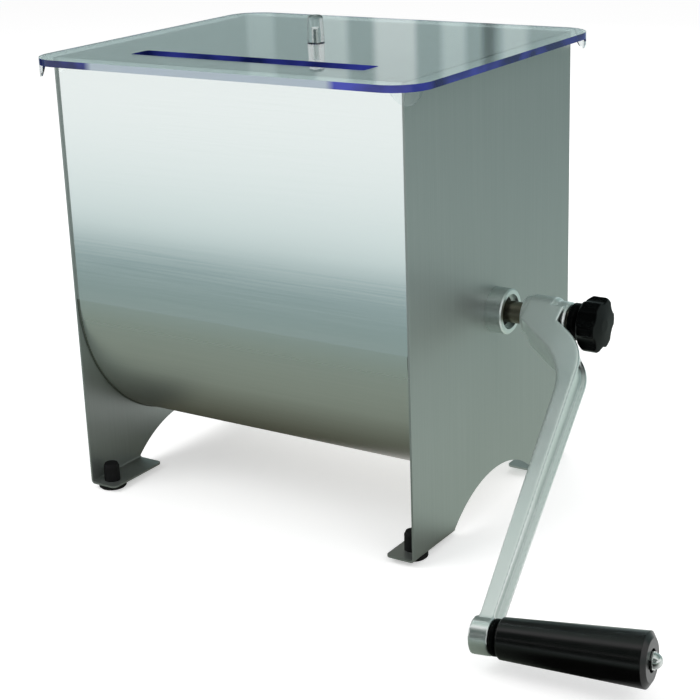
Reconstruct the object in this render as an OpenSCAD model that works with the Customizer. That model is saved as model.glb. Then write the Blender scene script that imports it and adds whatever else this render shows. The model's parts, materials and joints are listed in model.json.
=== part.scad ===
// Hand-cranked meat mixer: a sheet-steel trough between two legged end plates,
// a paddle shaft turned by a removable cast crank, and a clear lift-off lid.
// Millimetres. The origin is on the table under the middle of the hopper,
// +X runs along the paddle shaft towards the crank, -Y is the front, +Z is up.

/* [Hopper] */
// Length of the hopper over the outer faces of the end plates
hopper_length = 300; // [240:1:400]
// Height of an end plate from the bottom of its legs
plate_height = 336; // [310:1:420]
// Thickness of an end plate
plate_t = 1.5; // [1:0.1:3]
// Outside radius of the trough
trough_r = 122; // [105:0.5:140]
// Thickness of the trough's sheet
trough_t = 1.2; // [0.8:0.1:2.5]
// Margin of an end plate outside the trough, at the front and the back
plate_edge = 1.5; // [0:0.5:10]
// Space between the bottom of the legs and the trough
under_gap = 32; // [28:0.5:60]

/* [Legs] */
// Width of a leg at the bottom
leg_w = 59.5; // [45:0.5:75]
// Height of the arch between two legs
arch_h = 28; // [15:0.5:30]
// Length of the flange folded inwards under a leg
flange_w = 24; // [21:0.5:35]
// Radius of the flange's two inner corners
flange_corner = 4; // [1:0.5:8]
// Inside radius of the fold
fold_inner = 1.5; // [0.5:0.5:4]

/* [Feet] */
// Diameter of a rubber foot
foot_d = 22; // [16:0.5:23]
// Height of a foot under its flange
foot_h = 4; // [3:0.5:12]
// Diameter of the foot's neck in the flange
foot_neck_d = 8; // [5:0.5:10]
// Diameter of the foot's plug above the flange
foot_plug_d = 12.5; // [11:0.5:16]
// Height of the plug above the flange
foot_plug_h = 14.5; // [8:0.5:22]
// Length of the plug's tapered tip
foot_plug_tip = 2.5; // [1:0.5:4]
// Distance from the outer face of a plate to the foot nearer the plate's edge
near_inset_x = 12; // [11.5:0.5:13]
// Distance from that foot to the plate's edge
near_inset_y = 11.5; // [8:0.5:20]
// Distance from the outer face of a plate to its other foot
far_inset_x = 11.5; // [11.5:0.5:13]
// Distance from that other foot to the plate's edge
far_inset_y = 18; // [8:0.5:24]

/* [Bearings] */
// Wall of the nylon bushes
bush_wall = 3; // [2:0.5:5]
// Width of a bush's flange past its wall
bush_flange_w = 5; // [2:0.5:8]
// Thickness of a bush's flange
bush_flange_t = 2; // [1:0.5:4]
// Wall of the steel bosses on the end plates
boss_wall = 6; // [5:0.5:12]
// Length of the open boss on the crank side
boss_len = 13; // [10:0.5:25]
// Depth of the recess in the open boss
recess_depth = 5; // [2:0.5:8]
// Wall of the boss around the recess
recess_wall = 4; // [2:0.5:4.5]
// Length of the closed boss on the far side
idle_boss_len = 14; // [10:0.5:25]
// Thickness of the closed boss's end wall
idle_wall = 3; // [2:0.5:6]
// Diameter of the thrust washers
thrust_d = 25; // [22:0.5:30]
// Thickness of the thrust washers
thrust_t = 1.5; // [1:0.5:3]

/* [Paddle shaft] */
// Diameter of the shaft
shaft_d = 16; // [13:0.5:18]
// Height of the thrust collars on the shaft
collar_h = 4; // [2:0.5:6]
// Length of a thrust collar
collar_len = 4; // [2:0.5:8]
// Width across the flats of the square end that drives the crank
square_w = 9.5; // [9:0.1:11]
// Distance that the square end stops short of the hub's face
square_short = 2; // [1:0.5:4]
// Distance from an end plate to the nearest paddle
paddle_margin = 37.5; // [34:0.5:50]
// Space between the paddles and the trough
paddle_gap = 8.8; // [4:0.2:20]
// Diameter of a paddle's rod
rod_d = 8; // [6:0.5:9]
// Depth of the rod's socket in the shaft
rod_socket = 5; // [3:0.5:5.5]

/* [Blades] */
// Width of a blade
blade_w = 56; // [40:1:62]
// Height of a blade
blade_h = 50; // [35:1:65]
// Thickness of a blade
blade_t = 3; // [2:0.5:4]
// Angle of a blade to the shaft
blade_pitch = 40; // [20:1:60]
// Radius of a blade's inner corners
blade_corner = 10; // [3:0.5:16]
// Depth of the slot in the rod that holds the blade
blade_slot = 14; // [8:0.5:20]

/* [Crank hub] */
// Shaft showing between the open boss and the crank
hub_gap = 13; // [4:0.5:25]
// Length of the hub
hub_len = 36; // [32:0.5:45]
// Diameter of the hub
hub_d = 31; // [28:0.5:38]
// Step down from the hub to its nose
nose_step = 2; // [1:0.5:4]
// Length of the hub's nose
nose_len = 12; // [6:0.5:14]
// Step down from the hub to its inner rim
rim_step = 1.5; // [0.5:0.5:3]
// Length of the hub's inner rim
rim_len = 4; // [2:0.5:6]
// Chamfer on the hub's ends
hub_chamfer = 1.2; // [0.5:0.1:2.5]

/* [Crank arm] */
// Radius from the shaft to the middle of the grip's boss
crank_r = 260; // [200:1:290]
// Angle of the crank from straight down towards the front
crank_angle = 59; // [0:1:180]
// Outward lean of the arm
crank_flare = 7; // [0:0.5:10]
// Distance from the hub's face out to the middle of the arm, at the end of the elbow
arm_offset = 22; // [18:0.5:32]
// Thickness of the arm below the elbow
arm_t = 12; // [10:0.5:16]
// Thickness of the arm at the grip's boss
tip_t = 9.5; // [8:0.5:12]
// Width of the arm below the elbow
arm_w = 26; // [20:0.5:28]
// Width of the arm at the grip's boss
tip_w = 19; // [15:0.5:24]
// Radius of the elbow's outer face
elbow_r = 43; // [36:1:50]
// Distance from the shaft down to the end of the elbow
elbow_drop = 52; // [50:1:64]
// Angle at which the elbow's outer face runs into the web, from straight down
web_angle = 60; // [50:1:66]
// Radius of the curve inside the elbow
bend_r = 60; // [50:1:66]
// Distance by which that curve runs on down the arm, past the end of the elbow
bend_drop = 22; // [15:1:30]
// Angle at which that curve runs into the web, from straight down
bend_angle = 60; // [52:1:66]
// Depth of the channel in the arm's outer face
channel_depth = 4; // [1:0.5:5]
// Width of the rim on each side of the channel
channel_rim = 3.5; // [2:0.5:6]
// Angle round the elbow at which the channel ends
channel_angle = 45; // [20:1:48]

/* [Grip] */
// Diameter of the boss at the end of the arm
tip_d = 24; // [21:0.5:30]
// Length of that boss
tip_len = 13; // [12.5:0.5:20]
// Diameter of the grip's spindle
spindle_d = 10; // [9:0.5:12]
// Diameter of the spindle's threaded end
spindle_thread_d = 6; // [5:0.5:7]
// Diameter of the ring between the boss and the grip
neck_d = 23.5; // [20:0.5:30]
// Thickness of that ring
neck_t = 4; // [3:0.5:8]
// Length of the grip
grip_len = 96.5; // [80:0.5:130]
// Diameter of the grip next to the arm
grip_d_in = 26.5; // [24:0.5:34]
// Largest diameter of the grip, at the free end
grip_d_out = 35; // [32:0.5:42]
// Length of the cone at the grip's free end
grip_cone = 2.5; // [1:0.5:6]
// Diameter of the flat at the grip's free end
grip_face_d = 27; // [22:0.5:30]
// Chamfer at the grip's end next to the arm
grip_lead = 1.8; // [0.5:0.1:3]
// Depth of the recess for the cap nut
nut_recess = 6.5; // [4:0.5:12]
// Space around the cap nut in its recess
nut_space = 1; // [1:0.5:3]
// Width of the cap nut across its flats
nut_w = 11; // [10:0.5:13]
// Height of the hexagon of the cap nut
nut_h = 6; // [4:0.5:9]
// Thickness of the washer under the cap nut
nut_washer_t = 1.5; // [1:0.5:3]

/* [Star knob] */
// Diameter of the washer on the hub
washer_d = 22; // [18:0.5:24]
// Thickness of that washer
washer_t = 1; // [1:0.5:3]
// Diameter of the collar under the knob
knob_collar_d = 27; // [24:0.5:28]
// Diameter of the collar where it meets the knob
knob_collar_small_d = 22; // [21:0.5:24]
// Thickness of that collar
knob_collar_t = 7.5; // [6:0.5:10]
// Length of the cone on that collar
knob_collar_cone = 3.5; // [1:0.5:4]
// Diameter of the knob over its lobes
knob_d = 40; // [34:0.5:46]
// Length of the knob without its neck
knob_len = 15.5; // [14.5:0.5:24]
// Diameter of the knob's neck
knob_neck_d = 20; // [14:0.5:24]
// Length of that neck
knob_neck = 1.5; // [1:0.5:6]
// Chamfer around the knob's face
knob_chamfer = 1.5; // [1:0.5:3]
// Chamfer around the knob's back
knob_back = 3; // [1:0.5:3.5]
// Height of the dome on the knob's face
knob_dome = 1; // [0.5:0.5:3]
// Number of lobes
lobes = 6; // [5:1:7]
// Diameter of the hollows between the lobes
hollow_d = 24; // [18:1:30]
// Depth of those hollows
lobe_depth = 3.6; // [2.4:0.2:5]
// Diameter of the threaded stud
stud_d = 6; // [5:0.5:6.5]
// Length of the stud in the end of the shaft
stud_grip = 18; // [14:0.5:24]
// Depth of the stud in the knob
stud_in_knob = 11; // [8:0.5:13]

/* [Lid] */
// Thickness of the lid
lid_t = 5; // [3:0.5:8]
// Radius of the lid's corners
lid_corner = 42; // [30:0.5:50]
// Depth of a corner lip under the lid
lip_h = 9; // [5:0.5:14]
// Thickness of a lip
lip_t = 2.5; // [1.5:0.5:4]
// Width of a lip, seen across its corner
lip_w = 34; // [24:1:60]
// Space between a lip and the corner of its end plate
lip_gap = 2; // [1:0.5:5]
// Length of the filling slot
slot_length = 203; // [100:1:220]
// Width of the filling slot
slot_w = 20; // [10:0.5:35]
// Radius of the slot's corners
slot_corner = 2.5; // [1:0.5:5]
// Distance from the middle of the lid forward to the middle of the slot
slot_y = 84; // [50:1:95]
// Diameter of the lid's knob
peg_d = 13; // [11:0.5:20]
// Height of the knob
peg_h = 21; // [16:0.5:40]
// Rounding of the knob's top
peg_round = 3; // [1:0.5:4]
// Taper of the knob, from its foot to its top, on the radius
peg_taper = 0.6; // [0:0.1:1.5]
// Diameter of the screw that holds the knob
screw_d = 4; // [3:0.5:5]
// Length of that screw
screw_len = 16; // [12:0.5:18]

/* [Clearances] */
// Radial clearance of turning fits
run_gap = 0.05; // [0.02:0.01:0.1]
// Radial clearance of fixed fits
fix_gap = 0.05; // [0.02:0.01:0.1]
// Radial clearance of loose washers
loose_gap = 0.4; // [0.3:0.1:0.8]
// End play of turning pieces
end_play = 0.3; // [0.2:0.05:0.6]
// Chamfer on the small turned edges
edge = 1; // [0.4:0.1:1.4]

/* [Hidden] */
$fn = 96;

// Colours
STEEL = "#b9c0bd";
BRIGHT = "#d5d9d8";
CAST = "#aeb5b3";
BLACK = "#161718";
RUBBER = "#1b1b1c";
NYLON = "#e6e4dc";
CLEAR = "#c9d3e6";

// Hopper
plate_depth = 2 * (trough_r + plate_edge);
fold_r = fold_inner + plate_t;
axis_z = foot_h + under_gap + trough_r;
plate_top = foot_h + plate_height;

// Feet of the left plate as [distance from the middle, y], the right plate has them turned round
near_foot = [hopper_length / 2 - near_inset_x, near_inset_y - plate_depth / 2];
far_foot = [hopper_length / 2 - far_inset_x, plate_depth / 2 - far_inset_y];

// Arch between the legs: a circle that meets the inner end of each fold at its top
arch_w = plate_depth - 2 * leg_w;
arch_rise = arch_h - fold_r;
arch_r = (pow(arch_w / 2, 2) + pow(arch_rise, 2)) / (2 * arch_rise);
arch_z = foot_h + arch_h - arch_r;

// Bearings
bush_d = shaft_d + 2 * bush_wall;
boss_d = bush_d + 2 * boss_wall;
recess_d = boss_d - 2 * recess_wall;
collar_d = shaft_d + 2 * collar_h;

// Distances along the shaft
plate_x = hopper_length / 2;
inner_x = plate_x - plate_t;
collar_x = inner_x - bush_flange_t - thrust_t - end_play;
idle_end = plate_x + idle_boss_len - idle_wall;
boss_end = plate_x + boss_len;
hub_x = boss_end + hub_gap;
hub_end = hub_x + hub_len;
square_end = hub_end - square_short;
washer_end = hub_end + washer_t;
knob_collar_end = washer_end + knob_collar_t;
knob_x = knob_collar_end + knob_neck;
knob_end = knob_x + knob_len;

// Paddles: four in a row, each a quarter turn on from the last
paddle_r = trough_r - trough_t - paddle_gap;
paddle_x = [for (i = [0:3]) (2 * i / 3 - 1) * (inner_x - paddle_margin)];
blade_low = paddle_r - blade_h;

// Crank arm, drawn hanging straight down, as points [x, z] from the shaft
arm_dir = [sin(crank_flare), -cos(crank_flare)];
arm_out = [cos(crank_flare), sin(crank_flare)];
arm_straight = (crank_r - elbow_drop) / cos(crank_flare);
elbow_end = [hub_end + arm_offset, -elbow_drop];
elbow_c = elbow_end + (arm_t / 2 - elbow_r) * arm_out;
tip = elbow_end + arm_straight * arm_dir;
// Inner face of the arm, which leans out more than the outer one because the arm gets thinner
inner_flare = crank_flare + atan2(arm_t - tip_t, arm_straight);
inner_out = [cos(inner_flare), sin(inner_flare)];
bend_end = elbow_end - arm_t / 2 * arm_out + bend_drop * [sin(inner_flare), -cos(inner_flare)];
bend_c = bend_end - bend_r * inner_out;
// Angle by which the curves run on into the arm, so that they are one casting
elbow_lap = 1;

// Distances along the grip's axis from the middle of the arm's boss
neck_x = tip_len / 2;
grip_x = neck_x + neck_t + end_play;
grip_end = grip_x + grip_len;
nut_washer_x = grip_end - nut_recess + end_play;
nut_x = nut_washer_x + nut_washer_t;
nut_corner_d = nut_w / cos(30);
nut_recess_d = nut_corner_d + 2 * nut_space;

// Lid: its lips pass just outside the corners of the end plates
lid_z = plate_top;
lid_top = lid_z + lid_t;
lid_overhang = lid_corner - (lid_corner - lip_t - lip_gap) / sqrt(2);
lid_size = [hopper_length + 2 * lid_overhang, plate_depth + 2 * lid_overhang];
screw_head_d = 2 * screw_d;
screw_head_h = screw_d / 2;

// Overlap of cutting bodies past the faces that they cut
cut = 1;

// Placing

module on_axis() {
    translate([0, 0, axis_z])
        children();
}

module at_crank() {
    on_axis()
        rotate([-crank_angle, 0, 0])
            children();
}

// Along the grip's axis, from the middle of the boss at the end of the arm
module along_tip() {
    translate([tip.x, 0, tip.y])
        rotate([0, -crank_flare, 0])
            children();
}

module at_grip() {
    at_crank()
        along_tip()
            children();
}

module at_paddle(i) {
    at_crank()
        translate([paddle_x[i], 0, 0])
            rotate([90 * i, 0, 0])
                children();
}

// Shared shapes

// A revolved outline whose axis runs along +X, drawn as [distance along X, radius]
module turned(outline) {
    rotate([0, 90, 0])
        rotate_extrude()
            polygon([for (p = outline) [p[1], p[0]]]);
}

module tube(d_out, d_in, from, to) {
    turned([[from, d_in / 2], [to, d_in / 2], [to, d_out / 2], [from, d_out / 2]]);
}

module rod(d, from, to) {
    translate([from, 0, 0])
        rotate([0, 90, 0])
            cylinder(d = d, h = to - from);
}

module rounded_rect(size, r) {
    square([size.x - 2 * r, size.y], center = true);
    square([size.x, size.y - 2 * r], center = true);
    for (sx = [-1, 1], sy = [-1, 1])
        translate([sx * (size.x / 2 - r), sy * (size.y / 2 - r)])
            circle(r);
}

// Hopper

// A round bottom with straight walls up to the given height above the shaft, drawn as [y, z]
module trough_outline(r, top) {
    circle(r);
    translate([-r, 0])
        square([2 * r, top]);
}

module trough_shell() {
    top = plate_top - axis_z;
    color(STEEL)
        translate([-inner_x, 0, axis_z])
            rotate([90, 0, 90])
                linear_extrude(2 * inner_x)
                    difference() {
                        trough_outline(trough_r, top);
                        trough_outline(trough_r - trough_t, top + cut);
                    }
}

// Outline of an end plate above the folds, drawn as [y, z]
module plate_outline() {
    difference() {
        translate([-plate_depth / 2, foot_h + fold_r])
            square([plate_depth, plate_height - fold_r]);
        translate([0, arch_z])
            circle(arch_r);
        translate([0, axis_z])
            circle(d = bush_d + 2 * fix_gap);
    }
}

// Fold under a leg, drawn as [x from the outer face, z from the leg's bottom]
module fold_outline() {
    translate([fold_r, fold_r])
        intersection() {
            difference() {
                circle(fold_r);
                circle(fold_inner);
            }
            translate([-fold_r, -fold_r])
                square(fold_r);
        }
}

// Flat part of a flange with two round corners, drawn as [x from the outer face, y]
module flange_outline() {
    r = flange_corner;
    flat = flange_w - fold_r;
    translate([fold_r, 0])
        square([flat - r, leg_w]);
    translate([fold_r, r])
        square([flat, leg_w - 2 * r]);
    for (y = [r, leg_w - r])
        translate([flange_w - r, y])
            circle(r);
}

// An end plate with its outer face at x = 0 and its flanges towards +X; the plate on the
// far side is the same one turned round
module end_plate() {
    rotate([90, 0, 90])
        linear_extrude(plate_t)
            plate_outline();
    difference() {
        for (front = [-plate_depth / 2, plate_depth / 2 - leg_w])
            translate([0, front, foot_h]) {
                translate([0, leg_w, 0])
                    rotate([90, 0, 0])
                        linear_extrude(leg_w)
                            fold_outline();
                linear_extrude(plate_t)
                    flange_outline();
            }
        for (at = [near_foot, far_foot])
            translate([plate_x - at.x, at.y, foot_h - cut])
                cylinder(d = foot_neck_d + 2 * fix_gap, h = plate_t + 2 * cut);
    }
}

module right_end_plate() {
    color(STEEL)
        rotate([0, 0, 180])
            translate([-plate_x, 0, 0])
                end_plate();
}

module left_end_plate() {
    color(STEEL)
        translate([-plate_x, 0, 0])
            end_plate();
}

// A rubber foot with its neck through the flange and its plug above
module foot(side, at) {
    r = foot_d / 2;
    plug_r = foot_plug_d / 2;
    plug_z = foot_h + plate_t;
    plug_top = plug_z + foot_plug_h;
    color(RUBBER)
        translate([side * at.x, -side * at.y, 0])
            rotate_extrude()
                polygon([
                    [0, 0],
                    [r - edge, 0],
                    [r, edge],
                    [r, foot_h - edge],
                    [r - edge, foot_h],
                    [foot_neck_d / 2, foot_h],
                    [foot_neck_d / 2, plug_z],
                    [plug_r, plug_z],
                    [plug_r, plug_top - foot_plug_tip],
                    [plug_r - foot_plug_tip / 2, plug_top],
                    [0, plug_top]
                ]);
}

module foot_front_left() { foot(-1, near_foot); }
module foot_front_right() { foot(1, far_foot); }
module foot_rear_left() { foot(-1, far_foot); }
module foot_rear_right() { foot(1, near_foot); }

// Bearings

// Open boss, recessed so that the bush shows around the shaft
module drive_boss() {
    r = boss_d / 2;
    bore = bush_d / 2 + fix_gap;
    step = boss_end - recess_depth;
    color(BRIGHT)
        on_axis()
            turned([
                [plate_x, bore],
                [step, bore],
                [step, recess_d / 2],
                [boss_end, recess_d / 2],
                [boss_end, r - edge],
                [boss_end - edge, r],
                [plate_x, r]
            ]);
}

module idle_boss() {
    r = boss_d / 2;
    bore = bush_d / 2 + fix_gap;
    closed_x = plate_x + idle_boss_len;
    color(BRIGHT)
        on_axis()
            mirror([1, 0, 0])
                turned([
                    [plate_x, bore],
                    [idle_end, bore],
                    [idle_end, 0],
                    [closed_x, 0],
                    [closed_x, r - edge],
                    [closed_x - edge, r],
                    [plate_x, r]
                ]);
}

// Flanged bush from the inside of an end plate out to the given distance
module bush(to) {
    bore = shaft_d / 2 + run_gap;
    flange_r = bush_d / 2 + bush_flange_w;
    turned([
        [inner_x - bush_flange_t, bore],
        [to, bore],
        [to, bush_d / 2],
        [inner_x, bush_d / 2],
        [inner_x, flange_r],
        [inner_x - bush_flange_t, flange_r]
    ]);
}

module drive_bush() {
    color(BLACK)
        on_axis()
            bush(boss_end - recess_depth);
}

module idle_bush() {
    color(BLACK)
        on_axis()
            mirror([1, 0, 0])
                bush(idle_end);
}

module thrust_washer() {
    tube(thrust_d, shaft_d + 2 * fix_gap, collar_x, collar_x + thrust_t);
}

module drive_thrust_washer() {
    color(NYLON)
        on_axis()
            thrust_washer();
}

module idle_thrust_washer() {
    color(NYLON)
        on_axis()
            mirror([1, 0, 0])
                thrust_washer();
}

// Paddles

// Shaft with thrust collars, a square end for the crank and a tapped hole for the knob
module paddle_shaft() {
    r = shaft_d / 2;
    end_x = end_play - idle_end;
    color(BRIGHT)
        difference() {
            at_crank() {
                turned([
                    [end_x, 0],
                    [end_x, r - edge],
                    [end_x + edge, r],
                    [-collar_x, r],
                    [-collar_x, collar_d / 2],
                    [collar_len - collar_x, collar_d / 2],
                    [collar_len - collar_x, r],
                    [collar_x - collar_len, r],
                    [collar_x - collar_len, collar_d / 2],
                    [collar_x, collar_d / 2],
                    [collar_x, r],
                    [hub_x, r],
                    [hub_x, 0]
                ]);
                translate([hub_x - cut, -square_w / 2, -square_w / 2])
                    cube([square_end - hub_x + cut, square_w, square_w]);
            }
            at_crank()
                rod(stud_d + 2 * run_gap, square_end - stud_grip - edge, square_end + cut);
            for (i = [0:3])
                at_paddle(i)
                    translate([0, 0, r - rod_socket])
                        cylinder(d = rod_d + 2 * fix_gap, h = rod_socket + cut);
        }
}

// Round rod seated in the shaft, slotted at its free end for a blade
module paddle_rod(i) {
    foot_z = shaft_d / 2 - rod_socket;
    color(BRIGHT)
        at_paddle(i)
            difference() {
                translate([0, 0, foot_z])
                    cylinder(d = rod_d, h = blade_low + blade_slot - foot_z);
                rotate([0, 0, blade_pitch])
                    translate([-rod_d, -blade_t / 2 - fix_gap, blade_low])
                        cube([2 * rod_d, blade_t + 2 * fix_gap, blade_slot + cut]);
            }
}

// Outline of a blade with round inner corners, drawn as [across, distance from the shaft]
module blade_outline() {
    low = blade_low + blade_corner;
    translate([-blade_w / 2, low])
        square([blade_w, blade_h - blade_corner]);
    translate([blade_corner - blade_w / 2, blade_low])
        square([blade_w - 2 * blade_corner, blade_h]);
    for (side = [-1, 1])
        translate([side * (blade_w / 2 - blade_corner), low])
            circle(blade_corner);
}

// Flat blade set at an angle to the shaft, with its outer edge cut to the swept circle
module paddle_blade(i) {
    color(BRIGHT)
        at_paddle(i)
            intersection() {
                rotate([90, 0, blade_pitch])
                    linear_extrude(blade_t, center = true)
                        blade_outline();
                rod(2 * paddle_r, -blade_w, blade_w);
            }
}

module paddle_rod_1() { paddle_rod(0); }
module paddle_rod_2() { paddle_rod(1); }
module paddle_rod_3() { paddle_rod(2); }
module paddle_rod_4() { paddle_rod(3); }
module paddle_blade_1() { paddle_blade(0); }
module paddle_blade_2() { paddle_blade(1); }
module paddle_blade_3() { paddle_blade(2); }
module paddle_blade_4() { paddle_blade(3); }

// Crank
// The side view gives the bends, the front view gives the taper,
// and the cast arm is what both have in common.

// Side view of the channel in the arm and round its elbow, drawn as [x, z]
module channel_side_view() {
    low = crank_flare - elbow_lap;
    sweep = [for (a = [low, (low + channel_angle) / 2, channel_angle]) 2 * elbow_r * [cos(a), sin(a)]];
    translate(tip)
        rotate(crank_flare)
            translate([arm_t / 2 - channel_depth, 0])
                square([channel_depth + cut, arm_straight]);
    translate(elbow_c)
        intersection() {
            difference() {
                circle(elbow_r + cut);
                circle(elbow_r - channel_depth);
            }
            polygon(concat([[0, 0]], sweep));
        }
}

// Elbow between the curve of its outer face and the curve inside it, drawn as [x, z]
module elbow_side_view() {
    low = crank_flare - elbow_lap;
    bend_low = inner_flare - elbow_lap;
    bend_high = bend_angle + elbow_lap;
    far = 2 * elbow_r;
    difference() {
        intersection() {
            translate(elbow_c)
                circle(elbow_r);
            polygon([
                elbow_c + (elbow_r - arm_t / 2) * [cos(low), sin(low)],
                elbow_c + far * [cos(low), sin(low)],
                elbow_c + far * [1, 1],
                bend_c + 2 * bend_r * [cos(bend_high), sin(bend_high)],
                bend_c,
                bend_c + (bend_r + tip_t / 2) * [cos(bend_low), sin(bend_low)]
            ]);
        }
        translate(bend_c)
            circle(bend_r);
    }
}

// Side view of the arm, drawn as [x, z]: a tapered bar, the elbow and the web from the hub
module arm_side_view() {
    half = arm_t / 2;
    web_from = hub_x + rim_len + rim_step / 2;
    web_to = hub_end - 2 * hub_chamfer;
    translate(tip)
        rotate(crank_flare)
            polygon([[half - tip_t, 0], [half, 0], [half, arm_straight], [-half, arm_straight]]);
    elbow_side_view();
    polygon([
        [web_from, 0],
        [web_to, 0],
        [web_to, nose_step - hub_d / 2],
        elbow_c + elbow_r * [cos(web_angle), sin(web_angle)],
        bend_c + bend_r * [cos(bend_angle), sin(bend_angle)],
        [web_from, -hub_d / 2]
    ]);
}

// Front view of the arm, drawn as [y, z] and narrowed on each side by the given rim
module arm_front_view(rim) {
    root = hub_d / 2 - rim;
    knee = arm_w / 2 - rim;
    end = tip_w / 2 - rim;
    polygon([
        [-root, 0], [root, 0], [knee, -elbow_drop],
        [end, tip.y], [-end, tip.y], [-knee, -elbow_drop]
    ]);
}

module seen_from_side() {
    rotate([90, 0, 0])
        linear_extrude(hub_d, center = true)
            children();
}

module seen_from_front() {
    translate([hub_x, 0, 0])
        rotate([90, 0, 90])
            linear_extrude(tip.x + arm_t - hub_x)
                children();
}

// Shallow channel with raised rims down the outer face of the arm and round its elbow
module arm_channel() {
    intersection() {
        seen_from_side()
            channel_side_view();
        seen_from_front()
            arm_front_view(channel_rim);
    }
}

module crank_hub() {
    r = hub_d / 2;
    nose_r = r - nose_step;
    nose_x = hub_end - nose_len;
    rim_r = r - rim_step;
    rim_x = hub_x + rim_len;
    turned([
        [hub_x, 0],
        [hub_x, rim_r - hub_chamfer],
        [hub_x + hub_chamfer, rim_r],
        [rim_x, rim_r],
        [rim_x + rim_step, r],
        [nose_x, r],
        [nose_x + nose_step, nose_r],
        [hub_end - hub_chamfer, nose_r],
        [hub_end, nose_r - hub_chamfer],
        [hub_end, 0]
    ]);
}

// Cast crank: hub, web, elbow, channelled arm and the boss that carries the grip
module crank_arm() {
    hole_w = square_w + 2 * fix_gap;
    color(CAST)
        at_crank()
            difference() {
                union() {
                    difference() {
                        intersection() {
                            seen_from_side() arm_side_view();
                            seen_from_front() arm_front_view(0);
                        }
                        arm_channel();
                    }
                    crank_hub();
                    along_tip()
                        rod(tip_d, -tip_len / 2, tip_len / 2);
                }
                translate([hub_x - cut, -hole_w / 2, -hole_w / 2])
                    cube([hub_len + 2 * cut, hole_w, hole_w]);
                along_tip()
                    rod(spindle_d + 2 * fix_gap, -tip_len / 2 - cut, tip_len / 2 + cut);
            }
}

module crank_washer() {
    color(BRIGHT)
        at_crank()
            tube(washer_d, stud_d + 2 * loose_gap, hub_end, washer_end);
}

// Collar that travels with the knob but does not turn with it
module knob_collar() {
    r = knob_collar_d / 2;
    bore = stud_d / 2 + run_gap;
    color(BLACK)
        at_crank()
            turned([
                [washer_end, bore],
                [washer_end, r - edge],
                [washer_end + edge, r],
                [knob_collar_end - knob_collar_cone, r],
                [knob_collar_end, knob_collar_small_d / 2],
                [knob_collar_end, bore]
            ]);
}

// Outline of the knob: a disc, larger than the knob, with a round hollow between each two lobes
module lobe_outline() {
    floor_r = knob_d / 2 - lobe_depth;
    difference() {
        circle(knob_d / 2 + lobe_depth);
        for (i = [0:lobes - 1])
            rotate((i + 0.5) * 360 / lobes)
                translate([floor_r + hollow_d / 2, 0])
                    circle(d = hollow_d);
    }
}

// Lobed knob, trimmed by a chamfered and domed disc
module star_knob() {
    r = knob_d / 2;
    face_x = knob_end - knob_dome;
    color(BLACK)
        on_axis()
            difference() {
                union() {
                    rod(knob_neck_d, knob_collar_end, knob_x + cut);
                    intersection() {
                        translate([knob_x, 0, 0])
                            rotate([90, 0, 90])
                                linear_extrude(knob_len)
                                    lobe_outline();
                        turned([
                            [knob_x, 0],
                            [knob_x, r - knob_back],
                            [knob_x + knob_back, r],
                            [face_x - knob_chamfer, r],
                            [face_x, r - knob_chamfer],
                            [knob_end, knob_neck_d / 4],
                            [knob_end, 0]
                        ]);
                    }
                }
                rod(stud_d + 2 * fix_gap, knob_collar_end - cut, knob_x + stud_in_knob);
            }
}

module knob_stud() {
    r = stud_d / 2;
    from = square_end - stud_grip;
    to = knob_x + stud_in_knob;
    color(BRIGHT)
        at_crank()
            turned([[from, 0], [from, r - edge], [from + edge, r], [to, r], [to, 0]]);
}

// Grip

// Spindle with a shoulder that leaves the grip free to turn under its washer
module grip_spindle() {
    r = spindle_d / 2;
    thread_r = spindle_thread_d / 2;
    color(BRIGHT)
        at_grip()
            turned([
                [-tip_len / 2, 0],
                [-tip_len / 2, r],
                [nut_washer_x, r],
                [nut_washer_x, thread_r],
                [nut_x + nut_h, thread_r],
                [nut_x + nut_h, 0]
            ]);
}

module grip_neck_ring() {
    r = neck_d / 2;
    bore = spindle_d / 2 + fix_gap;
    neck_end = neck_x + neck_t;
    color(BLACK)
        at_grip()
            turned([
                [neck_x, bore],
                [neck_x, r - edge],
                [neck_x + edge, r],
                [neck_end - edge, r],
                [neck_end, r - edge],
                [neck_end, bore]
            ]);
}

// Tapered hand grip with a recess for the nut in its free end
module grip_sleeve() {
    bore = spindle_d / 2 + run_gap;
    r_in = grip_d_in / 2;
    r_out = grip_d_out / 2;
    recess_x = grip_end - nut_recess;
    color(BLACK)
        at_grip()
            turned([
                [grip_x, bore],
                [grip_x, r_in - grip_lead],
                [grip_x + grip_lead, r_in],
                [grip_end - grip_cone, r_out],
                [grip_end, grip_face_d / 2],
                [grip_end, nut_recess_d / 2],
                [recess_x, nut_recess_d / 2],
                [recess_x, bore]
            ]);
}

module grip_washer() {
    color(BRIGHT)
        at_grip()
            tube(nut_recess_d - 2 * loose_gap, spindle_thread_d + 2 * fix_gap, nut_washer_x, nut_x);
}

// Hexagon nut with a domed cap over the spindle's end
module grip_cap_nut() {
    dome_x = nut_x + nut_h;
    color(BRIGHT)
        at_grip()
            difference() {
                union() {
                    translate([nut_x, 0, 0])
                        rotate([0, 90, 0])
                            cylinder(d = nut_corner_d, h = nut_h, $fn = 6);
                    intersection() {
                        translate([dome_x, 0, 0])
                            sphere(d = nut_w - edge);
                        rod(2 * nut_w, dome_x - cut, dome_x + nut_w);
                    }
                }
                rod(spindle_thread_d + 2 * fix_gap, nut_x - cut, dome_x + fix_gap);
            }
}

// Lid

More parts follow.
